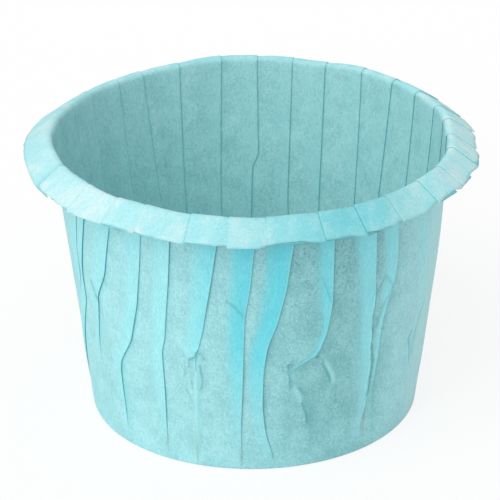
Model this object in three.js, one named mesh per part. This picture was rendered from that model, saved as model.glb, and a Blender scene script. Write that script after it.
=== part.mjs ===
// A paper baking cup, made of one round sheet of pale blue greaseproof paper. The sheet is
// pressed into a flat base, a wall gathered in knife pleats, and a rim turned over and down.
// Millimetres, +Z up. The origin is the centre of the underside, and the front faces -Y.

import * as THREE from "three";

// Driving dimensions
const BASE_DIAMETER = 51; // over the flat base, where it meets the wall
const CUP_HEIGHT = 45.5; // from the underside to the top of the rim's fold
const FOLD_DIAMETER = 61.2; // across the top of the rim's fold
const RIM_WIDTH = 4.4; // from the top of the fold out to the raw edge
const RIM_DROP = 2.8; // from the top of the fold down to the raw edge
const WALL_BULGE = 0.25; // how far the wall swells out of straight, half way up
const PAPER_THICKNESS = 0.1;
const LAYER_GAP = 0.12; // air between two layers of a pleat
const INNER_FOLD_RADIUS = 0.35; // bend of the undermost layer at the rim's fold

// Pleats
const PLEAT_COUNT = 30;
const BASE_GATHER = 3; // sheet taken up round the base's edge before the wall starts
const PLEAT_ROOT_HEIGHT = 2; // where a pleat has risen to its full three layers
const PLEAT_OPEN_HEIGHT = 5; // where the layers part
const PLEAT_WANDER = 1.6; // degrees that a pleat strays from even spacing

// Creases of the front pleats, in degrees round from the front: [base, half way up, rim]
const FRONT_CREASES = [
  [-76, -68, -67],
  [-66, -62, -56.5],
  [-58.5, -55, -45],
  [-48.5, -40, -33.5],
  [-30.5, -28.5, -23.5],
  [-20, -17, -9.5],
  [-4.5, -3, 1],
  [6, 3.5, 12],
  [17, 20, 23.5],
  [38.5, 38.5, 36.5],
  [49, 45.5, 47],
  [62, 64, 60],
];

// Faces of the mesh
const WALL_STEPS = 5; // rows of faces between where the pleats open and the rim's fold
const FOLD_STEPS = 3; // rows round the rim's fold
const RIM_STEPS = 2; // rows from the fold to the raw edge

const degrees = THREE.MathUtils.degToRad;
const mix = THREE.MathUtils.lerp;

// Levels of the layers, measured through the paper from the cup's inside face
const layerPitch = PAPER_THICKNESS + LAYER_GAP;
const innerLayer = { inside: 0, outside: PAPER_THICKNESS };
const middleLayer = { inside: layerPitch, outside: layerPitch + PAPER_THICKNESS };
const outerLayer = { inside: 2 * layerPitch, outside: 2 * layerPitch + PAPER_THICKNESS };

// A station is a place on the cup's section: its inside face at radius r and height z, the
// direction across the paper, and how much sheet lies between it and the centre
function station(point, across, sheet) {
  return { r: point.x, z: point.y, across, sheet };
}

function along(angle) {
  return new THREE.Vector2(Math.cos(angle), Math.sin(angle));
}

function rightOf(angle) {
  return new THREE.Vector2(Math.sin(angle), -Math.cos(angle));
}

// The section runs up the wall, round the fold and down the rim. The wall and the rim both
// meet the fold's arc as tangents.
const foldRadius = INNER_FOLD_RADIUS + outerLayer.outside;
const foldCentre = new THREE.Vector2(FOLD_DIAMETER / 2, CUP_HEIGHT - foldRadius);
const baseCorner = new THREE.Vector2(BASE_DIAMETER / 2 - PAPER_THICKNESS, PAPER_THICKNESS);
const rawEdge = new THREE.Vector2(FOLD_DIAMETER / 2 + RIM_WIDTH, CUP_HEIGHT - RIM_DROP);

function tangentTo(from, to) {
  const across = to.clone().sub(from);
  const angle = Math.atan2(across.y, across.x);
  const lean = Math.asin(foldRadius / across.length());
  return { angle, lean, length: Math.sqrt(across.lengthSq() - foldRadius ** 2) };
}

const wallLine = tangentTo(baseCorner, foldCentre);
const wallAngle = wallLine.angle + wallLine.lean;
const rimLine = tangentTo(foldCentre, rawEdge);
const rimAngle = rimLine.angle - rimLine.lean;
const sheetAtWall = baseCorner.x + BASE_GATHER;
const sheetAtFold = sheetAtWall + wallLine.length;
const sheetAtRim = sheetAtFold + foldRadius * (wallAngle - rimAngle);

function wallStation(length) {
  const share = length / wallLine.length;
  const point = baseCorner.clone().addScaledVector(along(wallAngle), length);
  point.addScaledVector(rightOf(wallAngle), 4 * WALL_BULGE * share * (1 - share));
  return station(point, rightOf(wallAngle), sheetAtWall + length);
}

function foldStation(share) {
  const angle = mix(wallAngle, rimAngle, share);
  const point = foldCentre.clone().addScaledVector(rightOf(angle), -foldRadius);
  return station(point, rightOf(angle), sheetAtFold + foldRadius * (wallAngle - angle));
}

function rimStation(share) {
  const left = rimLine.length * (1 - share);
  const point = rawEdge.clone().addScaledVector(along(rimAngle), -left);
  return station(point, rightOf(rimAngle), sheetAtRim + rimLine.length * share);
}

const cornerStation = station(baseCorner, new THREE.Vector2(1, -1), sheetAtWall);
const rootStation = wallStation(PLEAT_ROOT_HEIGHT);
const openStations = [];
for (let i = 0; i <= WALL_STEPS; i++) {
  openStations.push(wallStation(mix(PLEAT_OPEN_HEIGHT, wallLine.length, i / WALL_STEPS)));
}
for (let i = 1; i <= FOLD_STEPS; i++) {
  openStations.push(foldStation(i / FOLD_STEPS));
}
for (let i = 1; i <= RIM_STEPS; i++) {
  openStations.push(rimStation(i / RIM_STEPS));
}

// The pleats behind the listed ones share what is left of the turn
function creaseAngles(pleat) {
  if (pleat < FRONT_CREASES.length) {
    return FRONT_CREASES[pleat].map(degrees);
  }
  const last = FRONT_CREASES[FRONT_CREASES.length - 1];
  const share = (pleat - FRONT_CREASES.length + 1) / (PLEAT_COUNT - FRONT_CREASES.length + 1);
  return FRONT_CREASES[0].map((first, row) => {
    const stray = PLEAT_WANDER * Math.sin(2.4 * pleat + row);
    return degrees(mix(last[row], first + 360, share) + stray);
  });
}

const creases = [];
for (let pleat = 0; pleat < PLEAT_COUNT; pleat++) {
  creases.push(creaseAngles(pleat));
}

// A crease bends smoothly through its three angles on the wall and runs straight over the rim
function creaseAt(pleat, place) {
  const turn = 2 * Math.PI * Math.floor(pleat / PLEAT_COUNT);
  const [base, middle, rim] = creases[THREE.MathUtils.euclideanModulo(pleat, PLEAT_COUNT)];
  const up = THREE.MathUtils.clamp((place.sheet - sheetAtWall) / wallLine.length, 0, 1);
  const bend = base * (1 - up) * (1 - 2 * up) + 4 * middle * up * (1 - up);
  return turn + bend + rim * up * (2 * up - 1);
}

// The sheet is longer round than the cup is at each height, and the pleats take up the rest.
// Each takes its share by its distance from the pleat before it.
function tuckAt(pleat, place) {
  const crease = creaseAt(pleat, place);
  const pitch = crease - creaseAt(pleat - 1, place);
  const takenUp = (place.sheet - place.r) / (2 * place.r);
  return crease - pitch * takenUp;
}

const positions = [];
const faces = [];

function addPoint(angle, place, level) {
  const r = place.r + place.across.x * level;
  const z = place.z + place.across.y * level;
  positions.push(r * Math.sin(angle), -r * Math.cos(angle), z);
  return positions.length / 3 - 1;
}

// Rows of points round the cup, each with its points on the outside and the inside face.
// At the base's edge the sheet is plain: one point at each crease and one before it.
function cornerRow(place) {
  const row = { outside: [], inside: [] };
  for (let pleat = 0; pleat < PLEAT_COUNT; pleat++) {
    const crease = creaseAt(pleat, place);
    const between = (crease + creaseAt(pleat - 1, place)) / 2;
    for (const angle of [between, crease]) {
      row.outside.push(addPoint(angle, place, innerLayer.outside));
      row.inside.push(addPoint(angle, place, innerLayer.inside));
    }
  }
  return row;
}

// At its root a pleat is a ridge of three layers pressed together
function rootRow(place) {
  const row = { outside: [], inside: [] };
  const outerSlot = (innerLayer.outside + middleLayer.inside) / 2;
  const innerSlot = (middleLayer.outside + outerLayer.inside) / 2;
  for (let pleat = 0; pleat < PLEAT_COUNT; pleat++) {
    const crease = creaseAt(pleat, place);
    const tuck = tuckAt(pleat, place);
    row.outside.push(
      addPoint(tuck, place, outerLayer.outside),
      addPoint(crease, place, outerLayer.outside),
      addPoint(crease, place, outerSlot),
    );
    row.inside.push(
      addPoint(tuck, place, innerSlot),
      addPoint(tuck, place, innerLayer.inside),
      addPoint(crease, place, innerLayer.inside),
    );
  }
  return row;
}

// Above that the sheet runs out over the pleat, turns back at the crease, and turns forward
// again at the tuck
function openRow(place) {
  const row = { outside: [], inside: [] };
  const turn = PAPER_THICKNESS / place.r;
  for (let pleat = 0; pleat < PLEAT_COUNT; pleat++) {
    const crease = creaseAt(pleat, place);
    const tuck = tuckAt(pleat, place);
    row.outside.push(
      addPoint(tuck, place, outerLayer.outside),
      addPoint(crease, place, outerLayer.outside),
      addPoint(crease, place, middleLayer.inside),
      addPoint(tuck + turn, place, middleLayer.inside),
      addPoint(tuck + turn, place, innerLayer.outside),
      addPoint(crease, place, innerLayer.outside),
    );
    row.inside.push(
      addPoint(tuck, place, outerLayer.inside),
      addPoint(crease - turn, place, outerLayer.inside),
      addPoint(crease - turn, place, middleLayer.outside),
      addPoint(tuck, place, middleLayer.outside),
      addPoint(tuck, place, innerLayer.inside),
      addPoint(crease, place, innerLayer.inside),
    );
  }
  return row;
}

// Points on one face of the paper from the end of the pleat before to the end of this one
function span(ring, pleat) {
  const count = ring.length / PLEAT_COUNT;
  const first = pleat * count;
  const before = ring[(first - 1 + ring.length) % ring.length];
  return [before, ...ring.slice(first, first + count)];
}

// Fills the band between two spans. The path says which of them the next face steps along:
// l for the lower one, u for the upper one.
function fill(lower, upper, path, facing) {
  let low = 0;
  let up = 0;
  for (const step of path) {
    const face = [lower[low], step === "l" ? lower[low + 1] : upper[up + 1], upper[up]];
    faces.push(...(facing === "outside" ? face : face.reverse()));
    if (step === "l") {
      low += 1;
    } else {
      up += 1;
    }
  }
}

const rootPath = { outside: "luluu", inside: "luluu" };
const openingPath = { outside: "lululuuuu", inside: "luuuululu" };
// The middle layer runs backwards, so its faces are split the other way, like its neighbours'
const openPath = { outside: "lululuullulu", inside: "lululuullulu" };

function join(lower, upper, path) {
  for (const facing of ["outside", "inside"]) {
    for (let pleat = 0; pleat < PLEAT_COUNT; pleat++) {
      fill(span(lower[facing], pleat), span(upper[facing], pleat), path[facing], facing);
    }
  }
}

// The raw edge closes the outside face to the inside one
function closeEdge(row) {
  for (let pleat = 0; pleat < PLEAT_COUNT; pleat++) {
    fill(span(row.outside, pleat), span(row.inside, pleat), openPath.outside, "outside");
  }
}

// The flat base closes the bottom row, with one face of the sheet below and one above
function closeBase(row) {
  const centre = station(new THREE.Vector2(0, PAPER_THICKNESS), new THREE.Vector2(0, -1), 0);
  const underside = addPoint(0, centre, innerLayer.outside);
  const floor = addPoint(0, centre, innerLayer.inside);
  for (let i = 0; i < row.outside.length; i++) {
    const next = (i + 1) % row.outside.length;
    faces.push(underside, row.outside[next], row.outside[i]);
    faces.push(row.inside[i], row.inside[next], floor);
  }
}

const bottomRow = cornerRow(cornerStation);
const rows = [rootRow(rootStation), ...openStations.map(openRow)];
closeBase(bottomRow);
join(bottomRow, rows[0], rootPath);
join(rows[0], rows[1], openingPath);
for (let i = 2; i < rows.length; i++) {
  join(rows[i - 1], rows[i], openPath);
}
closeEdge(rows[rows.length - 1]);

const geometry = new THREE.BufferGeometry();
geometry.setAttribute("position", new THREE.Float32BufferAttribute(positions, 3));
geometry.setIndex(faces);
geometry.computeVertexNormals();

const paper = new THREE.MeshStandardMaterial({ color: "#9fd4da", roughness: 0.85, metalness: 0 });
const bakingCup = new THREE.Mesh(geometry, paper);
bakingCup.name = "baking_cup";

const cup = new THREE.Group();
cup.add(bakingCup);

export default cup;
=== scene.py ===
"""The looks of a paper baking cup: one folded sheet of pale blue greaseproof paper.

The cup is built again here in fine detail, by the same section and the same pleats as the CAD
part, with bent creases, lifted layers, wrinkles and a wavy raw edge. Sizes are in millimetres
and angles in degrees round from the cup's front, positive to the right, unless a name says so.
"""

import math
from collections import namedtuple

import bmesh
import bpy
import numpy as np
from mathutils import Matrix, Vector


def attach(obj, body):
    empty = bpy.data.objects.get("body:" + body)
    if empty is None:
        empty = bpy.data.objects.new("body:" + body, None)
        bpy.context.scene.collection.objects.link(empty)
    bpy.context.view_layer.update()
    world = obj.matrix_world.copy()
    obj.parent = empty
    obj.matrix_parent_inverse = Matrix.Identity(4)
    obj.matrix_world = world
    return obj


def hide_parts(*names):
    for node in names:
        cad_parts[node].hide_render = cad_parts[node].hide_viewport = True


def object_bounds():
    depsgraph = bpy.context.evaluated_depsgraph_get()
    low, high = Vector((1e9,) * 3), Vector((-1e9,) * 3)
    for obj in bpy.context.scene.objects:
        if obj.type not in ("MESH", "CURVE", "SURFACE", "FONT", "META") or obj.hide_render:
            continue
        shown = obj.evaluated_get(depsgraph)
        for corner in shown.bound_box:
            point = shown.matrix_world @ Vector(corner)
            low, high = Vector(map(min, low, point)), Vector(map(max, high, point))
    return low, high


MM = 0.001
RANDOM_SEED = 11

# Sizes of the paper cup
BASE_RADIUS = 25.85
CORNER_RADIUS = 0.3
FOLD_DIAMETER = 62.0
RIM_DROP = 2.8
WALL_BULGE = 0.4
PAPER_THICKNESS = 0.06
LAYER_GAP = 0.03
INNER_FOLD_RADIUS = 0.65

# Pleats
PLEAT_COUNT = 30
NARROWEST_PANEL = 1.3
NARROWEST_PLEAT = 0.3
CREASE_SOFTNESS = 0.65
PATH_SAMPLES = 181
# (height, width in degrees)
PLEAT_WIDTHS = [(0, 2.4), (8, 3.3), (15, 4.0), (25, 5.0), (35, 6.2), (45.5, 7.4)]
# A pleat's layers rise, its free edge lifts and it widens again between these heights, counted
# from where it fades out or grows slim
RISE_SPAN = (-1.5, 4.0)
LIFT_SPAN = (2.0, 12.0)
SLIM_SPAN = (-3.0, 0.0)
# Every pleat fades into the base below this height
BASE_FADE = 2.2

# The pleats of the sides and back: where they fade out and bend, and how slim, wide and lifted
# they are
PATH_TOP = 45
BACK_FADE = (1.0, 5.0)
BACK_KINKS = (12.0, 30.0)
BACK_SLIM = (0.5, 1)
BACK_WIDTH = (0.85, 1.1)
BACK_LIFT = (0.05, 0.2)
KINK_SIZE = 3.0
KINK_RANGE = (-1, 0.6)
# The path's point below the bend, as shares of the bend's height and angle, and the one above
# it: how much higher, and the share of the angle that is left
KINK_BELOW = (0.45, 0.35)
KINK_ABOVE = (4, 0.3)
PLEAT_WANDER = 1.6

# Faces
CORNER_ROWS = 4
WALL_ROWS = 44
FOLD_ROWS = 7
RIM_ROWS = 7

# How the layers of a pleat lie
PANEL_SWELL = 0.12
SWELL_LENGTH = 6.0
LIFT_WANDER = 0.6
LIFT_LENGTH = 5.0
TUCK_LIFT = 0.03
RIM_TUCK_LIFT = 0.04
SLOT_LEAST = 0.02
# Where a pleat has faded out, its layers stay this far apart, as a share of their full rise
LEAST_RISE = 0.015
# A pleat counts as faded out where its layers have risen less than the first of these shares,
# and not at all above the second
FADED_RISE = (2 * LEAST_RISE, 0.15)
# How far they have risen where the slot under a pleat opens
SLOT_OPENS = (0.35, 0.9)
# How far over the fold the free edges lie flat, and all layers are pressed
FLAT_AFTER = 0.3
PRESSED_AFTER = 0.25

# How the whole cup departs from a true round one
WALL_WAVES = (2, 3, 5, 9, 17)
WALL_WAVE_SIZE = 0.3
WALL_WAVES_START = (0.5, 7)
# Each part of a wave gets a share of its size between these
WAVE_SHARES = (0.6, 1)
SLANT_HEIGHT = 20.0
SIDE_SWELL = -0.1
# Where the upper wall and the rim stand out, and where they sag: (angle, half width, size)
SWELLS = [(58, 24, 0.5), (-118, 20, 0.7), (-85, 18, 0.25)]
SAGS = [(-138, 16, 0.8), (150, 20, 0.45)]
SWELL_STARTS = 8.0
RIM_WAVES = (2, 5, 9, 16)
FOLD_WAVE_SIZE = 0.15
RIM_WAVE_SIZE = 0.14
RIM_WAVES_START = (0.6, 2)
FOLD_REACH = 10.0
RIM_TILT = 0.25
RIM_TILT_TURN = math.radians(60)
EDGE_WAVES = (14, 23, 37, 51, 83)
EDGE_WAVE_SIZE = 0.3
# How much thinner the pressed layers lie over the rim
RIM_PRESSED = 0.45

# The flat base: which of the wall's points in a pleat its rings follow, how the faces step to
# the first ring, and the rings' radii as shares of the base's
DISC_PICKS = [1, 3, 5, 18]
DISC_PATH = "llu" * 3 + "l" * 13 + "u" + "lll"
DISC_SHARES = [0.965, 0.93, 0.85, 0.72, 0.55, 0.36, 0.18]

# Camera: fitted to the photograph's outlines
PHOTO_SIDE = 500
FOCAL_PIXELS = 3170
CAMERA_DISTANCE = 500
CAMERA_ELEVATION = math.radians(25.98)
CAMERA_ROLL = math.radians(-0.67)
AIM = (-0.43, 0, 25.03)
SENSOR_WIDTH = 36
CLIP_START = 10
CLIP_END = 10000


# A knife pleat: where its crease runs, from the base up, and how it fades, narrows and lifts
Pleat = namedtuple("Pleat", "path fades_at slims_at slim width lift", defaults=(0, 1, 1, 0.12))

# The creases that the front shows, left to right: (height, angle)
FRONT_PLEATS = [
    Pleat([(0, -103), (20, -99), (35, -95), (45, -93)], 4, lift=0.04),
    Pleat([(0, -85), (14, -80), (20, -75), (24, -68.5), (27, -66.8), (31, -67), (40, -62.8),
           (45, -61.3)], 24, width=0.8, lift=0.03),
    Pleat([(0, -80), (6, -78.5), (13, -73.5), (18, -69), (22.9, -64.4), (27, -64.9),
           (29.6, -64), (39, -58.5), (45, -57)], 6, lift=0.05),
    Pleat([(0, -62), (8, -61), (17.5, -58.5), (23, -56.2), (26, -55), (30, -50.5),
           (39.5, -46), (45, -44.5)], 14, slims_at=25, slim=0.4, lift=0.06),
    Pleat([(0, -48.7), (4, -48.7), (13.5, -48.3), (15.5, -47.6), (20, -42), (27, -38),
           (34, -35.8), (40, -34.4), (45, -33.5)], 3, width=0.9, lift=0.08),
    Pleat([(0, -31), (3.5, -30.6), (13, -29.6), (20.5, -29.6), (22, -28.4), (33, -25.5),
           (45, -23.4)], 2.5, width=0.95, lift=0.08),
    Pleat([(0, -20), (7, -19.3), (14, -18.4), (19.5, -18.2), (21.5, -17.4), (25, -15.5),
           (34, -12.2), (40.5, -10.2), (45, -9)], 18.5, slims_at=21.5, slim=0.3),
    Pleat([(0, -4.6), (8, -4.6), (15, -3.8), (28, -2.7), (33, -1), (40, 0.3), (45, 1)],
          1.5, width=0.95),
    Pleat([(0, 7.4), (1.6, 6.2), (7, 3.3), (12, 2.3), (18.4, 2.7), (22.7, 3.9), (27, 7),
           (32.7, 9.5), (40.6, 11.4), (45, 12)], 0.5, width=1.1, lift=0.2),
    Pleat([(0, 18.5), (8.6, 17.3), (14, 14.2), (16.5, 11), (18.3, 10.4), (19.2, 14.4),
           (20.4, 19.5), (24, 22.3), (29, 23.7), (34, 23.6), (45, 23.3)],
          17.5, slims_at=29, slim=0.5, width=0.72),
    Pleat([(0, 38.4), (4.5, 38), (9, 39.5), (14.5, 39.9), (22.5, 38.8), (28, 39.2),
           (39.6, 37.3), (45, 36.5)], 1.2, width=1.05),
    Pleat([(0, 44), (9, 42.2), (17, 43), (22, 43), (26, 45), (29.5, 47.3), (33, 47.8),
           (39.7, 46.6), (45, 46)], 10, slims_at=28, slim=0.35, width=0.9),
    Pleat([(0, 63.5), (5, 61), (9, 63.3), (13, 60), (16.3, 59), (17.4, 61.6), (21.6, 65.2),
           (33, 63.5), (45, 60)], 1, slims_at=24, slim=0.7),
]

# Small wrinkles of the wall: (points as (height, angle), half width, height). A height below 0
# is a groove between two low ridges.
WRINKLES = [
    ([(19.8, 20.6), (18.1, 23.2), (16.3, 25.1), (14.8, 25.5)], 0.45, 0.2),
    ([(20.1, 19.4), (19.5, 21.2), (18.4, 21.8), (17.1, 23.1), (14.9, 24.7)], 0.17, -0.24),
    ([(20.2, 10.6), (18.4, 10.6), (16.9, 10.9), (15.3, 11.4)], 0.16, -0.18),
    ([(14.9, 14.3), (14, 15.1), (11.9, 15.3), (10.5, 16.4), (8.3, 17.1)], 0.16, -0.16),
    ([(17.5, 12), (14.6, 13.2), (12.7, 14.8)], 0.5, 0.1),
    ([(21.6, 4.3), (19.3, 6.8), (17.5, 10.6)], 0.14, -0.08),
    ([(6.3, 20.1), (3.5, 21.8)], 0.13, -0.07),
    ([(27.6, -57.9), (26.4, -56.5), (25.2, -55.2)], 0.17, -0.22),
    ([(29.6, -51.2), (28.4, -50)], 0.13, -0.1),
    ([(18.2, -51.9), (14.9, -52.2), (13, -52.5)], 0.13, -0.05),
    ([(8.3, -50.6), (7.7, -49.8)], 0.13, -0.08),
    ([(20.6, -17.4), (18.2, -17.9), (13.5, -18.5), (8.5, -18.9), (3.8, -19.6)], 0.4, 0.16),
    ([(21.4, -17.2), (20.6, -17.8), (19.9, -19.9)], 0.16, -0.26),
    ([(19, -16.8), (17.1, -16.2), (15.7, -16.3), (14.6, -16.7)], 0.13, -0.2),
    ([(21.4, -17.2), (21, -16), (20.1, -15.2)], 0.13, -0.16),
    ([(19.5, -21.5), (18, -21.9), (16.6, -22.1)], 0.12, -0.1),
    ([(19.9, -19.9), (18.4, -20.4)], 0.13, -0.14),
    ([(14.2, -22), (13.1, -20.6), (12.3, -20.6)], 0.12, -0.1),
    ([(16, -19.7), (14.8, -19.7)], 0.13, -0.12),
    ([(22.7, -23.3), (21.1, -20.8)], 0.5, 0.12),
    ([(31, -7.8), (30, -5.4), (28.5, -3.1)], 0.15, -0.14),
    ([(35.9, -13.3), (35, -16.7)], 0.15, 0.06),
    ([(34.1, 20.3), (31.1, 22.2), (29.5, 23.3)], 0.15, -0.08),
    ([(30.5, 42.4), (28.5, 39.9), (24.1, 38.9)], 0.15, -0.14),
    ([(22.3, 39.7), (19.2, 39.3), (15.7, 41.4), (11.7, 40.3), (6.9, 39.5)], 0.15, -0.14),
    ([(19, 40.4), (15.9, 40.3), (10.1, 39.4)], 0.15, -0.12),
    ([(31, 42.7), (28.6, 46.8), (25.3, 42.8), (22.5, 40.9)], 0.15, -0.1),
    ([(17.9, 59), (17.2, 57.3), (12.2, 60.4), (8.8, 63.9)], 0.15, -0.14),
    ([(21.4, 67.2), (17, 63.1), (13, 63)], 0.15, -0.1),
]

# A wrinkle this high or higher shows its full painted highlight on a ridge and its full painted
# shade in a groove
WRINKLE_HIGHEST = 0.16
WRINKLE_REACH = 0.45
WRINKLE_CUTS = 3
WRINKLE_WANDER = 0.06
# How fast that wander swings up and round the wall, in radians a millimetre
WANDER_SWINGS = (2.1, 1.3)
# Where a groove's side ridges lie and how wide they are, in half widths of the groove
GROOVE_SIDES = (1.6, 0.9)
# Faces wider than this are split first, where a wrinkle runs within this reach
WIDE_EDGE = 1.4
WIDE_REACH = 1.2
WIDE_CUTS = 2
# A face is open to wrinkles where at least this share of it shows
OPEN_SHARE = 0.9

# Bunched paper at the ends of short folds: (height, angle, radius, how far it stands out). It
# has its full size above KNOTS_START.
KNOTS_START = 1
KNOTS = [
    (20.6, -17.8, 1.0, 0.22),
    (20.0, 19.6, 1.1, 0.28),
    (18.2, 12, 1.0, 0.14),
    (26, -55.4, 0.9, 0.1),
    (16.6, 59, 1.0, 0.14),
    (9.6, 62.5, 0.9, 0.1),
]

# Faint brown marks at the low ends of folds: (height, angle, half height, half width)
STAINS = [
    (3.4, -30.8, 1.2, 0.16),
    (4.6, -19.7, 2.2, 0.14),
    (1.8, -19.9, 0.6, 0.14),
    (2.6, -4.8, 1.4, 0.16),
    (5.5, 40, 1.5, 0.16),
]


def smooth_step(low, high, value):
    x = np.clip((value - low) / (high - low), 0, 1)
    return x * x * (3 - 2 * x)


def grown(start, span, z):
    """0 below a span of heights that is counted from start, and 1 above it."""
    return smooth_step(start + span[0], start + span[1], z)


def arch(share):
    """0 at both ends of a stretch and 1 in its middle."""
    return 4 * share * (1 - share)


def bell(distance):
    """A soft bump: 1 in its middle, 0.6 one half width away, and 0 far away."""
    return np.exp(-0.5 * distance**2)


def angle_of(points):
    return np.arctan2(points[..., 0], -points[..., 1])


def ahead(turn):
    """The direction of a line of the section that is turned up by this much."""
    return np.array([math.cos(turn), math.sin(turn)])


def aside(turn):
    """The direction across such a line, to its right."""
    return np.array([math.sin(turn), -math.cos(turn)])


def linear(red, green, blue):
    """A colour as the eye reads it, 0 to 255, to the linear values that the shader takes, by
    the sRGB curve."""
    parts = [c / 255 for c in (red, green, blue)]
    curve = [c / 12.92 if c <= 0.04045 else ((c + 0.055) / 1.055) ** 2.4 for c in parts]
    return (*curve, 1.0)


class Section:
    """The cup's section: rows of points on the inside face, from the base's edge to the raw
    edge. Each has the directions across and along the paper, and how far over the fold it is:
    0 on the wall, 1 at the fold's end and 2 at the raw edge."""

    def __init__(self, cup_height, rim_radius):
        stack = 3 * PAPER_THICKNESS + 2 * LAYER_GAP
        self.fold_radius = INNER_FOLD_RADIUS + stack
        self.cup_height = cup_height
        corner = np.array([BASE_RADIUS - PAPER_THICKNESS, PAPER_THICKNESS])
        fold = np.array([FOLD_DIAMETER / 2, cup_height - self.fold_radius])
        edge = np.array([rim_radius, cup_height - RIM_DROP])
        wall_turn, wall_length = self.tangent(corner, fold)
        rim_turn, rim_length = self.tangent(fold, edge, sign=-1)
        self.rows = []
        self.add_corner(corner, wall_turn)
        self.add_wall(corner, wall_turn, wall_length)
        self.add_fold(fold, wall_turn, rim_turn)
        self.add_rim(edge, rim_turn, rim_length)
        self.r, self.z, self.across_r, self.across_z, self.over = np.array(self.rows).T
        self.along_r = -self.across_z
        self.along_z = self.across_r

    def tangent(self, start, end, sign=1):
        """The turn and the length of a line from a point to the fold's circle."""
        step = end - start
        distance = math.hypot(*step)
        turn = math.atan2(step[1], step[0]) + sign * math.asin(self.fold_radius / distance)
        return turn, math.sqrt(distance**2 - self.fold_radius**2)

    def add(self, point, turn, over):
        self.rows.append((*point, *aside(turn), over))

    def add_corner(self, corner, wall_turn):
        back = CORNER_RADIUS * math.tan(wall_turn / 2)
        centre = corner + np.array([-back, CORNER_RADIUS])
        for turn in np.linspace(0, wall_turn, CORNER_ROWS + 1):
            self.add(centre + CORNER_RADIUS * aside(turn), turn, 0)
        self.wall_start = back

    def add_wall(self, corner, turn, length):
        for way in np.linspace(self.wall_start, length, WALL_ROWS + 1)[1:]:
            bulge = WALL_BULGE * arch(way / length) * aside(turn)
            self.add(corner + way * ahead(turn) + bulge, turn, 0)

    def add_fold(self, centre, wall_turn, rim_turn):
        for share in np.linspace(0, 1, FOLD_ROWS + 1)[1:]:
            turn = wall_turn + (rim_turn - wall_turn) * share
            self.add(centre - self.fold_radius * aside(turn), turn, share)

    def add_rim(self, edge, turn, length):
        for share in np.linspace(0, 1, RIM_ROWS + 1)[1:]:
            self.add(edge - (1 - share) * length * ahead(turn), turn, 1 + share)


def back_pleats(random):
    """The pleats round the sides and back, spread evenly with some wander."""
    first = FRONT_PLEATS[0].path
    last = FRONT_PLEATS[-1].path
    count = PLEAT_COUNT - len(FRONT_PLEATS)
    pleats = []
    for index in range(count):
        share = (index + 1) / (count + 1)
        top = last[-1][1] + share * (first[-1][1] + 360 - last[-1][1])
        foot = last[0][1] + share * (first[0][1] + 360 - last[0][1])
        top += PLEAT_WANDER * random.uniform(-1, 1)
        foot += PLEAT_WANDER * random.uniform(-1, 1)
        kink = random.uniform(*BACK_KINKS)
        middle = foot + (top - foot) * kink / PATH_TOP + KINK_SIZE * random.uniform(*KINK_RANGE)
        below = (kink * KINK_BELOW[0], foot + KINK_BELOW[1] * (middle - foot))
        above = (kink + KINK_ABOVE[0], middle + KINK_ABOVE[1] * (top - middle))
        path = [(0, foot), below, (kink, middle), above, (PATH_TOP, top)]
        pleats.append(Pleat(path, random.uniform(*BACK_FADE), kink, random.uniform(*BACK_SLIM),
                            random.uniform(*BACK_WIDTH), random.uniform(*BACK_LIFT)))
    return pleats


def softened(values, spacing):
    """Rounds the kinks of a path that is sampled evenly."""
    reach = int(3 * CREASE_SOFTNESS / spacing)
    steps = np.arange(-reach, reach + 1) * spacing
    weights = bell(steps / CREASE_SOFTNESS)
    padded = np.pad(values, reach, mode="edge")
    return np.convolve(padded, weights / weights.sum(), mode="valid")


def pleat_grid(pleats, section):
    """For each pleat and row: the angles of its crease and of the crease before it, its width
    in radians, how far its layers have risen, from 0 to 1, and how far its free edge lifts."""
    heights = np.linspace(0, section.cup_height, PATH_SAMPLES)
    width_heights, width_degrees = np.array(PLEAT_WIDTHS).T
    z = np.clip(section.z, 0, section.cup_height)
    z = np.where(section.over > 0, section.cup_height, z)
    creases, widths, risen, lifts = [], [], [], []
    for pleat in pleats:
        path_heights, path_angles = np.array(pleat.path).T
        path = softened(np.interp(heights, path_heights, path_angles), heights[1])
        creases.append(np.radians(np.interp(z, heights, path)))
        slim = pleat.slim + (1 - pleat.slim) * grown(pleat.slims_at, SLIM_SPAN, z)
        width = np.interp(z, width_heights, width_degrees) * pleat.width * slim
        widths.append(np.radians(width))
        rise = grown(pleat.fades_at, RISE_SPAN, z) * smooth_step(PAPER_THICKNESS, BASE_FADE, z)
        risen.append(np.maximum(rise, LEAST_RISE))
        lifts.append(pleat.lift * grown(pleat.fades_at, LIFT_SPAN, z))
    creases = np.array(creases)
    before = np.roll(creases, 1, axis=0)
    before[0] -= 2 * math.pi
    room = creases - before - np.radians(NARROWEST_PANEL)
    room = np.maximum(room, np.radians(NARROWEST_PLEAT))
    widths = np.minimum(np.array(widths), room)
    return creases, before, widths, np.array(risen), np.array(lifts)


# Places along a panel and along a pleat's top and floor, as shares of their widths
PANEL_PLACES = [0.05, 0.14, 0.3, 0.5, 0.7, 0.88]
TOP_PLACES = [0.2, 0.4, 0.6, 0.78, 0.92]
FLOOR_PLACES = [0.08, 0.22, 0.4, 0.6, 0.8]
NOSE_TURNS = [math.pi / 4, math.pi / 2, 3 * math.pi / 4]

# How much of the pleat's extra layers shows through, and how much shade gathers, at those places
PANEL_LAYERS = [0, 0, 0, 0, 0, 0.1]
TOP_LAYERS = [0.75, 0.95, 1, 1, 1]
TUCK_LAYERS = 0.35
PANEL_SHADE_OUTSIDE = [0.35, 0.08, 0, 0, 0, 0]
PANEL_SHADE_INSIDE = [0, 0, 0, 0, 0, 0]
NOSE_SHADE_OUTSIDE = [0.05, 0.5, 0.9]
NOSE_SHADE_INSIDE = [0.1, 0, 0]
FLOOR_LAYERS = [1, 1, 0.95, 0.8, 0.5]
OUTSIDE_END_LAYERS = 0.3
INSIDE_END_LAYERS = 0.2

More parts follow.
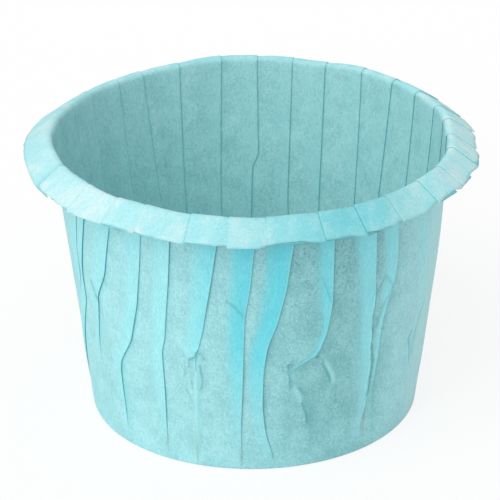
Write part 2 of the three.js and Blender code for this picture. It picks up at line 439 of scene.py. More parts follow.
# A free edge lifts with the square of the place, so half way it lifts a quarter
HALF_WAY_LIFT = 0.25

# How many of the outside contour's points lie open to view: the panel's, and the top's with
# its two ends
SHOWING_POINTS = len(PANEL_PLACES) + len(TOP_PLACES) + 2

# Places along the sheet itself: one pleat takes up four of its parts
SHEET_PARTS = 4

# How the raw edge's faces step between the outside and the inside contour: l along the
# outside one, u along the inside one
EDGE_PATH = "lu" * 7 + "lllulllu" + "llull" + "lulu" + "uuluu" + "uuuluulu"


class Contour:
    """One face of the paper, through every pleat and at every row. Each point has an angle, a
    level through the paper, a place along the sheet, how many layers show there (0 for one,
    1 for three), how much painted shade gathers, and 1 on the pleat's free edge, where a
    painted highlight goes."""

    def __init__(self, shape):
        self.shape = shape
        self.points = []

    def add(self, angle, level, sheet, layers=0.0, shade=0.0, edge=0.0):
        values = (angle, level, sheet, layers, shade, edge)
        self.points.append([np.broadcast_to(np.asarray(v, float), self.shape) for v in values])

    def stacked(self):
        """The six values, each by row, pleat and point of the pleat."""
        return np.array(self.points).transpose(1, 3, 2, 0)


class Folds:
    """The pleats' layout on every row, and the two contours of the paper through them."""

    def __init__(self, pleats, section, random):
        self.section = section
        grid = pleat_grid(pleats, section)
        self.crease, self.before, self.width, self.risen, self.lift = grid
        self.tuck = self.crease - self.width
        self.shape = self.crease.shape
        count = len(pleats)
        phases = random.uniform(0, 2 * math.pi, (2, count, 1))
        swell = random.uniform(-1, 1, (count, 1)) * PANEL_SWELL
        self.swell = swell * np.sin(section.z / SWELL_LENGTH + phases[0]) * self.risen
        self.lift = self.lift * (1 + LIFT_WANDER * np.sin(section.z / LIFT_LENGTH + phases[1]))
        over_fold = smooth_step(0, FLAT_AFTER, section.over)
        self.lift = self.lift * (1 - over_fold)
        self.tuck_lift = (TUCK_LIFT + RIM_TUCK_LIFT * over_fold) * self.risen
        step = PAPER_THICKNESS + LAYER_GAP
        self.top_inside = 2 * step * self.risen
        self.top_outside = self.top_inside + PAPER_THICKNESS
        self.middle_outside = PAPER_THICKNESS + LAYER_GAP * self.risen
        self.middle_inside = (2 * PAPER_THICKNESS + LAYER_GAP) * self.risen
        turn = PAPER_THICKNESS / section.r
        open_share = smooth_step(*SLOT_OPENS, self.risen)
        self.slot = np.maximum(self.width - turn, 0) * open_share + SLOT_LEAST / section.r

    def panel(self, contour, base_level, shades):
        """The single sheet from the last crease out to this pleat's tuck."""
        for place, layers, shade in zip(PANEL_PLACES, PANEL_LAYERS, shades):
            angle = self.before + place * (self.tuck - self.before)
            climb = (place + smooth_step(0, 1, place)) / 2
            level = base_level + climb * self.top_inside + self.swell * arch(place)
            contour.add(angle, level, place, layers * self.risen, shade * self.risen)

    def outside(self):
        contour = Contour(self.shape)
        radius, risen = self.section.r, self.risen
        self.panel(contour, PAPER_THICKNESS, PANEL_SHADE_OUTSIDE)
        contour.add(self.tuck, self.top_outside, 1, TUCK_LAYERS * risen)
        for place, layers in zip(TOP_PLACES, TOP_LAYERS):
            level = self.top_outside + self.lift * place**2
            contour.add(self.tuck + place * self.width, level, 1 + place, layers * risen)
        top = self.top_outside + self.lift
        below = self.middle_outside + self.lift
        # The crease's top carries the painted highlight along the pleat's free edge
        contour.add(self.crease, top, 2, risen, edge=risen)
        nose = (top - below) / 2
        for turn, shade in zip(NOSE_TURNS, NOSE_SHADE_OUTSIDE):
            angle = self.crease + nose * math.sin(turn) / radius
            level = (top + below) / 2 + nose * math.cos(turn)
            contour.add(angle, level, 2, risen, shade * risen)
        contour.add(self.crease, below, 2, risen, risen)
        half_lift = self.lift * HALF_WAY_LIFT
        half_way = self.crease - self.slot / 2
        contour.add(half_way, self.middle_outside + half_lift, 2.5, risen, risen)
        end = self.crease - self.slot
        contour.add(end, self.middle_outside, 3, risen, risen)
        contour.add(end, PAPER_THICKNESS, 3, risen, risen)
        contour.add(half_way, PAPER_THICKNESS, 3.5, risen, risen)
        layers = OUTSIDE_END_LAYERS * risen
        contour.add(self.crease, PAPER_THICKNESS, SHEET_PARTS, layers, risen)
        return contour.stacked()

    def inside(self):
        contour = Contour(self.shape)
        radius, risen = self.section.r, self.risen
        self.panel(contour, 0, PANEL_SHADE_INSIDE)
        contour.add(self.tuck, self.top_inside, 1, risen, risen)
        half_way = self.tuck + self.slot / 2
        end = self.tuck + self.slot
        top, below = self.top_inside, self.middle_inside
        half_lift = self.lift * HALF_WAY_LIFT
        contour.add(half_way, top + half_lift, 1.5, risen, risen)
        contour.add(end, top + self.lift, 2, risen, risen)
        contour.add(end, below + self.lift, 2, risen, risen)
        contour.add(half_way, below + half_lift, 2.5, risen, risen)
        contour.add(self.tuck, below, 3, risen, risen)
        nose = (below + self.tuck_lift) / 2
        for turn, shade in zip(NOSE_TURNS, NOSE_SHADE_INSIDE):
            angle = self.tuck - nose * math.sin(turn) / radius
            level = below - nose + nose * math.cos(turn)
            contour.add(angle, level, 3, risen, shade * risen)
        contour.add(self.tuck, -self.tuck_lift, 3, risen)
        for place, layers in zip(FLOOR_PLACES, FLOOR_LAYERS):
            level = -self.tuck_lift * (1 - place) ** 2
            angle = self.tuck + place * self.width
            contour.add(angle, level, 3 + place, layers * risen)
        contour.add(self.crease, 0, SHEET_PARTS, INSIDE_END_LAYERS * risen)
        return contour.stacked()


def waves(random, counts, size):
    """A smooth closed wave round the cup: how many swings each part has, and their size."""
    phases = random.uniform(0, 2 * math.pi, len(counts))
    sizes = size * random.uniform(*WAVE_SHARES, len(counts)) / np.sqrt(len(counts))
    return list(zip(counts, phases, sizes))


def wave(terms, turn):
    return sum(size * np.sin(count * turn + phase) for count, phase, size in terms)


def bumps(places, angle):
    """Soft bumps round the cup: each has an angle, a half width and a size."""
    total = np.zeros(angle.shape)
    for turn, half_width, size in places:
        total += size * bell(turned(angle - math.radians(turn)) / math.radians(half_width))
    return total


def line_distance(points, across, up):
    """How far each place is from a line drawn on the unrolled wall."""
    best = np.full(across.shape, np.inf)
    for (x0, y0), (x1, y1) in zip(points[:-1], points[1:]):
        dx, dy = x1 - x0, y1 - y0
        share = np.clip(((across - x0) * dx + (up - y0) * dy) / (dx * dx + dy * dy), 0, 1)
        best = np.minimum(best, np.hypot(across - x0 - share * dx, up - y0 - share * dy))
    return best


def turned(angle):
    """The same angle between half a turn to the left and half a turn to the right."""
    return (angle + math.pi) % (2 * math.pi) - math.pi


class Relief:
    """How far the sheet stands out from the plain section at each place on it."""

    def __init__(self, random):
        self.wall = waves(random, WALL_WAVES, WALL_WAVE_SIZE)
        self.slant = random.uniform(-1, 1, len(WALL_WAVES)) / SLANT_HEIGHT
        self.fold = waves(random, RIM_WAVES, FOLD_WAVE_SIZE)
        self.rim = waves(random, RIM_WAVES, RIM_WAVE_SIZE)
        self.edge = waves(random, EDGE_WAVES, EDGE_WAVE_SIZE)

    def outward(self, angle, section):
        """Movement away from the cup's axis: slow swells, the same for all layers."""
        z = np.where(section.over > 0, section.cup_height, section.z)[:, None, None]
        terms = zip(self.wall, self.slant)
        swing = sum(s * np.sin(n * angle + p + z * k) for (n, p, s), k in terms)
        share = z / section.cup_height
        swing = swing - SIDE_SWELL * arch(share) * np.sin(angle)
        swing = swing * smooth_step(*WALL_WAVES_START, z)
        return swing + bumps(SWELLS, angle) * smooth_step(SWELL_STARTS, section.cup_height, z)

    def across(self, angle, section):
        """Movement across the paper: the bunched paper on the wall."""
        angle = turned(angle)
        z = section.z[:, None, None]
        radius = section.r[:, None, None]
        detail = np.zeros(angle.shape)
        for height, turn, spread, size in KNOTS:
            along = angle * radius - math.radians(turn) * radius_at(section, height)
            detail += size * bell(np.hypot(along, z - height) / spread)
        on_wall = (section.over == 0)[:, None, None]
        return detail * smooth_step(0, KNOTS_START, z) * on_wall

    def rim_shift(self, angle, sheet_turn, section):
        """Movement of the fold and the rim: up, and along the paper towards the raw edge."""
        over = section.over[:, None, None]
        z = section.z[:, None, None]
        near = smooth_step(section.cup_height - FOLD_REACH, section.cup_height, z)
        near = np.where(over > 0, 1, near)
        out = smooth_step(*RIM_WAVES_START, over)
        up = near * wave(self.fold, angle) + out * wave(self.rim, angle)
        up = up + out * RIM_TILT * (0.5 + 0.5 * np.sin(angle - RIM_TILT_TURN))
        up = up - near * bumps(SAGS, angle)
        along = smooth_step(1, 2, over) * wave(self.edge, sheet_turn)
        return up, along


def radius_at(section, height):
    wall = section.over == 0
    return np.interp(height, section.z[wall], section.r[wall])


def sheet_turn(sheet):
    """Places along the sheet, as angles that close after the last pleat."""
    count = sheet.shape[1]
    pleat = np.arange(count)[None, :, None]
    return 2 * math.pi * (pleat * SHEET_PARTS + sheet) / (SHEET_PARTS * count)


def contour_points(contour, section, relief):
    """The contour's points in space, in millimetres, by row, pleat and point."""
    angle, level, sheet = contour[0], contour[1], contour[2]
    column = (slice(None), None, None)
    pressed = 1 - RIM_PRESSED * smooth_step(0, PRESSED_AFTER, section.over)[column]
    out = level * pressed + relief.across(angle, section)
    up, along = relief.rim_shift(angle, sheet_turn(sheet), section)
    r = section.r[column] + out * section.across_r[column] + along * section.along_r[column]
    r = r + relief.outward(angle, section)
    z = section.z[column] + out * section.across_z[column] + along * section.along_z[column] + up
    return np.stack([r * np.sin(angle), -r * np.cos(angle), z], axis=-1)


# Values painted on each point. Among them, shade marks the painted shade in and beside the creases,
# edge the painted highlight along the pleats' free edges, and pale the painted sheen on the wall's
# right side.
PAINTED_VALUES = ("layers", "shade", "edge", "rim", "over", "open", "free", "face", "stain",
                  "soak", "deep", "pale")

# How much fat the single paper has taken up, round the cup: (angle, share)
SOAK_ROUND = [(-180, 0.6), (-110, 0.3), (-75, 0), (-45, 0.08), (-20, 0.3), (0, 0.5), (15, 0.9),
              (25, 1), (38, 0.85), (50, 0.4), (65, 0.15), (75, 0), (90, 0), (130, 0.4), (180, 0.6)]
# How deep the pleats' colour is, round the cup: (angle, share)
DEEP_ROUND = [(-180, 0.5), (-110, 0.3), (-75, 0), (-45, 0.03), (-24, 0.12), (-16, 0.4),
              (-8, 0.85), (0, 1), (8, 1), (18, 0.8), (24, 0.7), (40, 0.35), (60, 0.3), (80, 0.15),
              (130, 0.4), (180, 0.5)]
# How much painted sheen lies on the wall, round the cup, strongest on its right side where light
# glances along it: (angle, share)
SIDE_SHEEN_ROUND = [(-180, 0), (45, 0), (58, 0.3), (68, 0.9), (95, 1), (130, 0.3), (180, 0)]
ROUND_TABLES = (SOAK_ROUND, DEEP_ROUND, SIDE_SHEEN_ROUND)
# The rim's streaks slant by this many radians from the fold to the raw edge, and run out this
# much longer than they are wide
STREAK_SLANT = 0.05
STREAK_REACH = 1.2
RIM_COLOUR_STARTS = (0.1, 0.6)


def add_object(name, data):
    thing = bpy.data.objects.new(name, data)
    bpy.context.scene.collection.objects.link(thing)
    return thing


def write_value(mesh, name, values):
    attribute = mesh.attributes.new(name, "FLOAT", "POINT")
    attribute.data.foreach_set("value", values.astype(np.float32))


def finish_mesh(mesh):
    mesh.polygons.foreach_set("use_smooth", np.ones(len(mesh.polygons), bool))
    mesh.update()


class CupMesh:
    """Collects the points, faces and painted values of the cup."""

    def __init__(self):
        self.points = []
        self.values = []
        self.faces = []
        self.count = 0

    def add(self, points, face, layers=0, shade=0, edge=0, rim=0, over=0, showing=0, free=0):
        """Adds a block of points. face is 0 inside the cup and 1 outside it, showing is 1
        where the wall's outside isn't covered by a fold, and free is 1 there and also where
        the fold has faded out, so that a wrinkle can cross it."""
        points = points.reshape(-1, 3)
        first = self.count
        self.count += len(points)
        self.points.append(points)
        shares = [share_round(table, points) for table in ROUND_TABLES]
        values = (layers, shade, edge, rim, over, showing, free, face, stain_values(points), *shares)
        self.values.append(np.stack([np.broadcast_to(v, len(points)) for v in values], axis=1))
        return np.arange(first, self.count)

    def add_faces(self, corners, turned_over):
        order = corners[::-1] if turned_over else corners
        self.faces.append(np.stack(order, axis=-1).reshape(-1, len(corners)))

    def band(self, lower, upper, path, turned_over):
        """Fills the band between two closed rings, pleat by pleat. The path says whether the
        next face steps along the lower or the upper ring."""
        low_steps, up_steps = path.count("l"), path.count("u")
        pleats = len(lower) // low_steps
        low = np.arange(pleats) * low_steps - 1
        up = np.arange(pleats) * up_steps - 1
        for step in path:
            here, there = lower[low % len(lower)], upper[up % len(upper)]
            if step == "l":
                low = low + 1
                new = lower[low % len(lower)]
            else:
                up = up + 1
                new = upper[up % len(upper)]
            self.add_faces([here, new, there], turned_over)

    def tube(self, rings, turned_over):
        """Quads between rows of rings with the same points: shape rows, points."""
        here, there = rings[:-1], rings[1:]
        next_here, next_there = np.roll(here, -1, axis=1), np.roll(there, -1, axis=1)
        self.add_faces([here, next_here, next_there, there], turned_over)

    def make(self, name):
        mesh = bpy.data.meshes.new(name)
        points = np.concatenate(self.points) * MM
        faces = [face for block in self.faces for face in block.tolist()]
        mesh.from_pydata(points.tolist(), [], faces)
        values = np.concatenate(self.values)
        for index, label in enumerate(PAINTED_VALUES):
            write_value(mesh, label, values[:, index])
        finish_mesh(mesh)
        return add_object(name, mesh)


def stain_values(points):
    """How strongly each point lies in one of the faint marks."""
    radius = np.hypot(points[:, 0], points[:, 1])
    stain = np.zeros(len(points))
    for height, turn, half_height, half_width in STAINS:
        across = turned(angle_of(points) - math.radians(turn)) * radius / half_width
        stain += bell(np.hypot(across, (points[:, 2] - height) / half_height))
    return np.clip(stain, 0, 1)


def share_round(table, points):
    """A share that changes round the cup, at each point."""
    turns, shares = np.array(table).T
    return np.interp(np.degrees(angle_of(points)), turns, shares)


def base_disc(mesh, ring, height, outside):
    """Closes the bottom of one face of the paper with a flat disc."""
    ring_points = np.concatenate(mesh.points)[ring]
    per_pleat = len(ring) // PLEAT_COUNT
    picked = ring_points.reshape(PLEAT_COUNT, per_pleat, 3)[:, DISC_PICKS]
    angles = angle_of(picked).reshape(-1)
    face = 1 if outside else 0
    outer = ring
    path = DISC_PATH
    for share in DISC_SHARES:
        r = share * BASE_RADIUS
        z = np.full(len(angles), float(height))
        points = np.stack([r * np.sin(angles), -r * np.cos(angles), z], axis=1)
        inner = mesh.add(points, face)
        mesh.band(outer, inner, path, outside)
        outer = inner
        path = "lu" * len(DISC_PICKS)
    centre = mesh.add(np.array([[0.0, 0.0, height]]), face)
    mesh.add_faces([outer, np.roll(outer, -1), np.broadcast_to(centre, outer.shape)], outside)


def unrolled(points, section):
    """Each point's place on the unrolled wall: round it and up it."""
    return angle_of(points) * radius_at(section, points[:, 2]), points[:, 2]


def wrinkle_lines(section):
    """Every wrinkle as a line on the unrolled wall, with its half width and height."""
    lines = []
    for points, half_width, height in WRINKLES:
        line = [(math.radians(turn) * radius_at(section, level), level) for level, turn in points]
        lines.append((line, half_width, height))
    return lines


def near_faces(mesh, section, lines, reach):
    """Which open faces lie within reach of a wrinkle."""
    points = read_points(mesh)
    showing = read_value(mesh, "open")
    corners = [list(face.vertices) for face in mesh.polygons]
    centres = np.array([points[corner].mean(axis=0) for corner in corners])
    seen = np.array([showing[corner].min() for corner in corners]) > OPEN_SHARE
    across, up = unrolled(centres, section)
    near = np.zeros(len(corners), bool)
    for line, half_width, _ in lines:
        near |= line_distance(line, across, up) < reach + 2 * half_width
    return near & seen


def refine(mesh, near, cuts, shortest=0.0):
    """Cuts the faces that are marked near into a finer grid, along edges longer than the
    shortest."""
    shape = bmesh.new()
    shape.from_mesh(mesh)
    shape.faces.ensure_lookup_table()
    edges = {edge for index in np.flatnonzero(near) for edge in shape.faces[index].edges}
    edges = [edge for edge in edges if edge.calc_length() > shortest * MM]
    edges = sorted(edges, key=lambda edge: edge.index)
    bmesh.ops.subdivide_edges(shape, edges=edges, cuts=cuts, use_grid_fill=True)
    shape.to_mesh(mesh)
    shape.free()


def read_points(mesh):
    points = np.zeros(len(mesh.vertices) * 3)
    mesh.vertices.foreach_get("co", points)
    return points.reshape(-1, 3) / MM


def read_value(mesh, name):
    values = np.zeros(len(mesh.vertices))
    mesh.attributes[name].data.foreach_get("value", values)
    return values


def add_wrinkles(mesh, section):
    """Presses the small wrinkles into the wall's outside."""
    lines = wrinkle_lines(section)
    refine(mesh, near_faces(mesh, section, lines, WIDE_REACH), WIDE_CUTS, WIDE_EDGE)
    refine(mesh, near_faces(mesh, section, lines, WRINKLE_REACH), WRINKLE_CUTS)
    points = read_points(mesh)
    free = read_value(mesh, "free")
    across, up = unrolled(points, section)
    shift = WRINKLE_WANDER * np.sin(up * WANDER_SWINGS[0] + across * WANDER_SWINGS[1])
    ridges, grooves, raised = np.zeros((3, len(points)))
    for line, half_width, height in lines:
        distance = line_distance(line, across + shift, up)
        middle = np.exp(-((distance / half_width) ** 2))
        if height > 0:
            ridges = np.maximum(ridges, middle * height)
            raised = np.maximum(raised, middle * height)
        else:
            beside = distance - GROOVE_SIDES[0] * half_width
            side = np.exp(-((beside / (GROOVE_SIDES[1] * half_width)) ** 2))
            grooves = np.maximum(grooves, middle * -height)
            raised = np.maximum(raised, side * -height * (1 - middle))
    angle = angle_of(points)
    away = np.stack([np.sin(angle), -np.cos(angle), np.zeros_like(angle)], axis=1)
    points = points + away * (raised * free)[:, None]
    mesh.vertices.foreach_set("co", (points * MM).reshape(-1))
    # Marks for the painted highlight on the ridges and the painted shade in the grooves
    for name, values in (("painted_highlight", ridges), ("groove", grooves)):
        write_value(mesh, name, np.clip(values / WRINKLE_HIGHEST, 0, 1) * free)
    finish_mesh(mesh)


def make_cup(cad_low, cad_high):
    random = np.random.default_rng(RANDOM_SEED)
    section = Section(cad_high.z / MM, (cad_high.x - cad_low.x) / 2 / MM)
    pleats = FRONT_PLEATS + back_pleats(random)
    folds = Folds(pleats, section, random)
    relief = Relief(random)
    mesh = CupMesh()
    rings = {}
    for face, contour in ((1, folds.outside()), (0, folds.inside())):
        points = contour_points(contour, section, relief)
        over = section.over[:, None, None] + 0 * contour[0]
        rim = smooth_step(*RIM_COLOUR_STARTS, over)
        showing = (1 - rim) * (np.arange(contour.shape[3]) < SHOWING_POINTS) * face
        faded = 1 - smooth_step(*FADED_RISE, folds.risen.T)[:, :, None]
        free = np.maximum(showing, faded * (1 - rim) * face)
        values = [v.reshape(-1) for v in (*contour[3:], rim, over, showing, free)]
        flat = mesh.add(points, face, *values)
        rings[face] = flat.reshape(len(section.r), -1)
        mesh.tube(rings[face], face == 0)
    mesh.band(rings[1][-1], rings[0][-1], EDGE_PATH, False)
    base_disc(mesh, rings[1][0], 0, True)
    base_disc(mesh, rings[0][0], PAPER_THICKNESS, False)
    cup = mesh.make("folded_cup")
    add_wrinkles(cup.data, section)
    return cup


class Shader:
    """The nodes of a material or a world, with short names for making and joining them."""

    def __init__(self, owner):
        self.owner = owner
        owner.use_nodes = True
        self.nodes = owner.node_tree.nodes
        self.links = owner.node_tree.links
        self.nodes.clear()

    def node(self, kind, inputs=None, **settings):
        """Makes a node. Its inputs are given by name or number, as values or as sockets."""
        node = self.nodes.new("ShaderNode" + kind)
        for key, value in settings.items():
            setattr(node, key, value)
        for key, source in (inputs or {}).items():
            if isinstance(source, (int, float, tuple)):
                node.inputs[key].default_value = source
            else:
                self.links.new(source, node.inputs[key])
        return node

    def painted(self, name):
        return self.node("Attribute", attribute_name=name).outputs["Fac"]

    def noise(self, place, size, detail, roughness, curl=0.0):
        """Soft noise, about as coarse as the size says, in millimetres."""
        inputs = {"Vector": place, "Scale": 1 / (size * MM), "Detail": detail,
                  "Roughness": roughness, "Distortion": curl}
        return self.node("TexNoise", inputs).outputs["Fac"]

    def math(self, operation, *values):
        return self.node("Math", dict(enumerate(values)), operation=operation).outputs[0]

    def times(self, first, second):
        return self.math("MULTIPLY", first, second)

    def sum(self, first, first_share, second, second_share):
        """Two values added, each times its share."""
        return self.math("MULTIPLY_ADD", first, first_share, self.times(second, second_share))

    def spread(self, value, low, high, to_low=0.0, to_high=1.0):
        inputs = dict(enumerate((value, low, high, to_low, to_high)))
        return self.node("MapRange", inputs, interpolation_type="SMOOTHSTEP").outputs[0]

    def mix(self, share, first, second, blend="MIX"):
        """Mixes two colours, by the node's colour sockets: inputs 6 and 7, and output 2."""
        inputs = {0: share, 6: first, 7: second}
        return self.node("Mix", inputs, data_type="RGBA", blend_type=blend).outputs[2]

    def grey(self, value):
        return self.node("CombineColor", {0: value, 1: value, 2: value}).outputs[0]

    def either(self, choice, first, second):
        """The first surface where the choice is 0 and the second where it is 1."""
        return self.node("MixShader", {0: choice, 1: first.outputs[0], 2: second.outputs[0]})

    def finished(self, surface, kind="OutputMaterial"):
        self.node(kind, {"Surface": surface.outputs[0]})
        return self.owner


# Colours of the paper as the eye reads them, 0 to 255
DRY_LIGHT = linear(180, 238, 242)
DRY_DARK = linear(162, 224, 229)
SOAKED_LIGHT = linear(150, 210, 214)
SOAKED_DARK = linear(124, 187, 192)
PLEAT_DRY = linear(168, 238, 243)
PLEAT_DEEP = linear(110, 219, 232)
# Painted sheen where light glances along the wall's right side
SIDE_SHEEN_COLOUR = linear(192, 237, 241)
INSIDE_LIGHT = linear(176, 226, 228)
INSIDE_DARK = linear(150, 208, 211)
INSIDE_PLEAT = linear(168, 224, 227)
RIM_BLUE = linear(182, 238, 242)
RIM_PALE = linear(212, 242, 244)
RIM_BLUE_SOAKED = linear(124, 211, 220)
RIM_PALE_SOAKED = linear(156, 221, 226)
STAIN_COLOUR = linear(150, 140, 110)
# Painted shade in and beside the creases, on dry paper and on soaked paper
CREASE_SHADE_COLOUR = linear(90, 206, 212)
CREASE_SHADE_SOAKED = linear(70, 150, 156)
# Painted shade in the wrinkles' grooves
GROOVE_SHADE_COLOUR = linear(84, 164, 170)
SPECK_COLOUR = linear(92, 146, 156)
# Painted highlight on the wrinkles' ridges and on the pleats' free edges
RIDGE_HIGHLIGHT_COLOUR = linear(172, 238, 241)

# The paper's noises: (size in millimetres, detail, roughness, curl)
BLOTCHES = (3.0, 3, 0.55)
GRAIN = (0.35, 4, 0.65)
FIBRES = (0.6, 3, 0.6, 2.5)
STREAKS = (2.8, 2, 0.5)
SPECKS = (0.42, 3, 0.7)
FIBRE_STRETCH = 0.35
FIBRE_DEPTH = 0.012
GRAIN_DEPTH = 0.01

# Shares of the blotches and of the grain in the mottling, and of the blotches and of the
# streaks in the rim's marbling
MOTTLE_PARTS = (0.4, 0.6)
MARBLE_PARTS = (0.45, 0.55)

# Where a noise or a height passes from one value to another: (from, to, value there, value
# there), with 0 and 1 where no values are given
MOTTLE_SPREAD = (0.4, 0.6)
INSIDE_SPREAD = (0.36, 0.62)
SPECK_SPREAD = (0.5, 0.68)
STREAK_SPREAD = (0.4, 0.66)
FIBRE_TONES = (0.3, 0.7, 0.9, 1.06)
ROUGHNESS = (0.35, 0.65, 0.62, 0.8)
SOAK_HEIGHTS = (1.0, 12.0, 0.62, 1)
DEEP_HEIGHTS = (4.0, 27.0, 0.35, 1)
SPECK_HEIGHTS = (20.0, 36.0, 0, 0.65)
# The pleats' strips are clear above the second height. Below the first they are as clear as
# the share for dry paper says, and clearer by the other share where the paper is soaked.
STRIP_HEIGHTS = (2.5, 21.0)
STRIPS_SOAKED = 0.35
STRIPS_DRY = 0.15

# How much each thing shows at its strongest
DEEP_UNEVEN = 0.5
# Painted sheen on the wall's right side
SIDE_SHEEN_SHARE = 0.8
INSIDE_PLEAT_SHARE = 0.5
# Painted highlight on the pleats' free edges and on the wrinkles' ridges, and painted shade in the
# wrinkles' grooves
EDGE_HIGHLIGHT_SHARE = 0.45
RIDGE_HIGHLIGHT_SHARE = 0.7
GROOVE_SHADE_SHARE = 0.6
STAIN_SHARE = 0.3
SHADE_SHARE = 0.6
SPECULAR = 0.35


def streak_place(shader, place):
    """Coordinates that change fast round the cup and slowly over the rim, for its streaks."""
    over = shader.painted("over")
    inputs = {"Vector": place, "Angle": shader.times(over, STREAK_SLANT)}
    slanted = shader.node("VectorRotate", inputs, rotation_type="Z_AXIS")
    parts = shader.node("SeparateXYZ", {0: slanted.outputs[0]})
    angle = shader.math("ARCTAN2", parts.outputs["Y"], parts.outputs["X"])
    radius = FOLD_DIAMETER / 2 * MM
    x = shader.times(shader.math("COSINE", angle), radius)
    y = shader.times(shader.math("SINE", angle), radius)
    z = shader.times(over, STREAK_REACH * MM)
    return shader.node("CombineXYZ", {0: x, 1: y, 2: z}).outputs[0]


def paper_material():
    """Pale blue greaseproof paper: even and bright where three layers lie together and on the
    rim, greyer and mottled where one layer has taken up fat, with faint fibres all over. Painted
    shade lies in the creases and in the wrinkles' grooves, painted highlight on the pleats' free
    edges and on the wrinkles' ridges, and painted sheen on the wall's right side."""
    shader = Shader(bpy.data.materials.new("greaseproof_paper"))
    place = shader.node("TexCoord").outputs["Object"]
    stretched = shader.node("Mapping", {"Vector": place, "Scale": (1, 1, FIBRE_STRETCH)})
    parts = shader.node("SeparateXYZ", {0: place})
    mix, times, spread, painted = shader.mix, shader.times, shader.spread, shader.painted
    height = times(parts.outputs["Z"], 1 / MM)

    blotches = shader.noise(place, *BLOTCHES)
    grain = shader.noise(place, *GRAIN)
    fibres = shader.noise(stretched.outputs["Vector"], *FIBRES)
    streaks = shader.noise(streak_place(shader, place), *STREAKS)
    specks = shader.noise(place, *SPECKS)
    mottle = shader.sum(blotches, MOTTLE_PARTS[0], grain, MOTTLE_PARTS[1])
    uneven = spread(mottle, *MOTTLE_SPREAD)
    painted_soak = painted("soak")
    soak = times(painted_soak, spread(height, *SOAK_HEIGHTS))

    dry = mix(uneven, DRY_DARK, DRY_LIGHT)
    soaked = mix(uneven, SOAKED_DARK, SOAKED_LIGHT)
    single = mix(soak, dry, soaked)
    speck = times(spread(specks, *SPECK_SPREAD), spread(height, *SPECK_HEIGHTS))
    single = mix(times(speck, soak), single, SPECK_COLOUR)

    at_foot = shader.math("MULTIPLY_ADD", painted_soak, STRIPS_SOAKED, STRIPS_DRY)
    strips = spread(height, *STRIP_HEIGHTS, at_foot, 1.0)
    layers = times(painted("layers"), strips)
    deep = times(painted("deep"), spread(height, *DEEP_HEIGHTS))
    uneven_deep = shader.math("SUBTRACT", blotches, 0.5)
    deep = shader.math("MULTIPLY_ADD", uneven_deep, DEEP_UNEVEN, deep)
    pleat = mix(deep, PLEAT_DRY, PLEAT_DEEP)
    wall = mix(layers, single, pleat)
    # Painted sheen: the wall lighter towards its right side, where light glances along it
    wall = mix(times(painted("pale"), SIDE_SHEEN_SHARE), wall, SIDE_SHEEN_COLOUR)

    inside = mix(spread(mottle, *INSIDE_SPREAD), INSIDE_DARK, INSIDE_LIGHT)
    inside = mix(times(layers, INSIDE_PLEAT_SHARE), inside, INSIDE_PLEAT)
    colour = mix(painted("face"), inside, wall)

    marbled = shader.sum(blotches, MARBLE_PARTS[0], streaks, MARBLE_PARTS[1])
    streak = spread(marbled, *STREAK_SPREAD)
    rim = mix(streak, RIM_BLUE, RIM_PALE)
    rim = mix(soak, rim, mix(streak, RIM_BLUE_SOAKED, RIM_PALE_SOAKED))
    colour = mix(painted("rim"), colour, rim)

    fibre_tone = shader.grey(spread(fibres, *FIBRE_TONES))
    colour = mix(1.0, colour, fibre_tone, "MULTIPLY")
    # Painted highlight along the pleats' free edges and on the wrinkles' ridges
    edge = times(painted("edge"), EDGE_HIGHLIGHT_SHARE)
    painted_highlight = shader.math("MAXIMUM", times(painted("painted_highlight"), RIDGE_HIGHLIGHT_SHARE), edge)
    colour = mix(painted_highlight, colour, RIDGE_HIGHLIGHT_COLOUR)
    # Coats over the paper: painted shade in the wrinkles' grooves, the real brown stains, and
    # painted shade in and beside the creases, darker where the paper is soaked
    crease = mix(soak, CREASE_SHADE_COLOUR, CREASE_SHADE_SOAKED)
    coats = (("groove", GROOVE_SHADE_SHARE, GROOVE_SHADE_COLOUR), ("stain", STAIN_SHARE, STAIN_COLOUR),
             ("shade", SHADE_SHARE, crease))
    for name, share, coat in coats:
        colour = mix(times(painted(name), share), colour, coat)

    depth = shader.sum(fibres, FIBRE_DEPTH, grain, GRAIN_DEPTH)
    bump = shader.node("Bump", {"Strength": 1, "Distance": MM, "Height": depth})
    inputs = {"Base Color": colour, "Normal": bump.outputs["Normal"],
              "Roughness": spread(mottle, *ROUGHNESS), "Specular IOR Level": SPECULAR}
    return shader.finished(shader.node("BsdfPrincipled", inputs))


def seen_directly(shader):
    """1 for the camera's own rays and for what a gloss or a clear part shows, else 0."""
    rays = shader.node("LightPath").outputs
    seen = shader.math("MAXIMUM", rays["Is Camera Ray"], rays["Is Glossy Ray"])
    return shader.math("MAXIMUM", seen, rays["Is Transmission Ray"])


FLOOR_SIZE = 6.0
FLOOR_COLOUR = linear(235, 235, 235)
FLOOR_GLOW = 0.8
FLOOR_SHADOW = (0.2, 0.2, 0.2, 1)


def make_floor():
    """A white ground that keeps a faint shadow."""
    mesh = bpy.data.meshes.new("ground")
    half = FLOOR_SIZE / 2
    corners = [(-half, -half, 0), (half, -half, 0), (half, half, 0), (-half, half, 0)]
    mesh.from_pydata(corners, [], [(0, 1, 2, 3)])
    shader = Shader(bpy.data.materials.new("ground"))
    plain = shader.node("BsdfDiffuse", {"Color": FLOOR_COLOUR})
    faint = shader.node("BsdfDiffuse", {"Color": FLOOR_SHADOW})
    glow = shader.node("Emission", {"Strength": FLOOR_GLOW})
    white = shader.node("AddShader", {0: glow.outputs[0], 1: faint.outputs[0]})
    surface = shader.either(seen_directly(shader), plain, white)
    mesh.materials.append(shader.finished(surface))
    add_object("ground", mesh)


WORLD_LIGHT = 0.85
SUN_LIGHT = 1.4
SUN_ANGLE = math.radians(60)
SUN_FROM = Vector((-0.6, -0.85, 0.9))


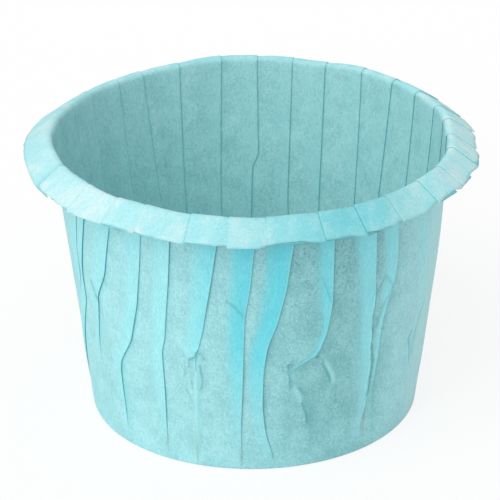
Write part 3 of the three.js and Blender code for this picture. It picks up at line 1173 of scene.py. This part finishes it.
def make_lights():
    """Plain soft studio light: an even white surround and a broad lamp from the upper left."""
    shader = Shader(bpy.data.worlds.new("studio"))
    light = shader.node("Background", {"Strength": WORLD_LIGHT})
    white = shader.node("Background")
    rays = shader.node("LightPath").outputs
    surface = shader.either(rays["Is Camera Ray"], light, white)
    bpy.context.scene.world = shader.finished(surface, "OutputWorld")
    lamp = bpy.data.lights.new("soft_lamp", "SUN")
    lamp.energy = SUN_LIGHT
    lamp.angle = SUN_ANGLE
    holder = add_object("soft_lamp", lamp)
    holder.rotation_euler = SUN_FROM.to_track_quat("Z", "Y").to_euler()


def make_camera():
    """The photograph's viewpoint: in front, above, nearly level and far away."""
    data = bpy.data.cameras.new("photo_camera")
    data.sensor_width = SENSOR_WIDTH
    data.lens = FOCAL_PIXELS / PHOTO_SIDE * SENSOR_WIDTH
    data.clip_start = CLIP_START * MM
    data.clip_end = CLIP_END * MM
    camera = add_object("photo_camera", data)
    back = Vector((0, -math.cos(CAMERA_ELEVATION), math.sin(CAMERA_ELEVATION)))
    place = (Vector(AIM) + CAMERA_DISTANCE * back) * MM
    tilt = Matrix.Rotation(math.pi / 2 - CAMERA_ELEVATION, 4, "X")
    roll = Matrix.Rotation(CAMERA_ROLL, 4, "Z")
    camera.matrix_world = Matrix.Translation(place) @ tilt @ roll
    bpy.context.scene.camera = camera


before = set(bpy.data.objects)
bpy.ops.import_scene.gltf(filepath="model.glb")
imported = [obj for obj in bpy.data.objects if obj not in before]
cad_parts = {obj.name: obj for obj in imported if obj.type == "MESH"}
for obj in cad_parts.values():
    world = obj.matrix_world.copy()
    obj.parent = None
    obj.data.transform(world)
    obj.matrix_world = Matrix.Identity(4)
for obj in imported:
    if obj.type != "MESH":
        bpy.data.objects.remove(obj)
cad_low, cad_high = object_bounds()
bpy.context.scene.view_settings.view_transform = "Standard"
make_camera()
make_lights()
make_floor()
cup = make_cup(cad_low, cad_high)
cup.data.materials.append(paper_material())
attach(cup, "root")
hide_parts("baking_cup")
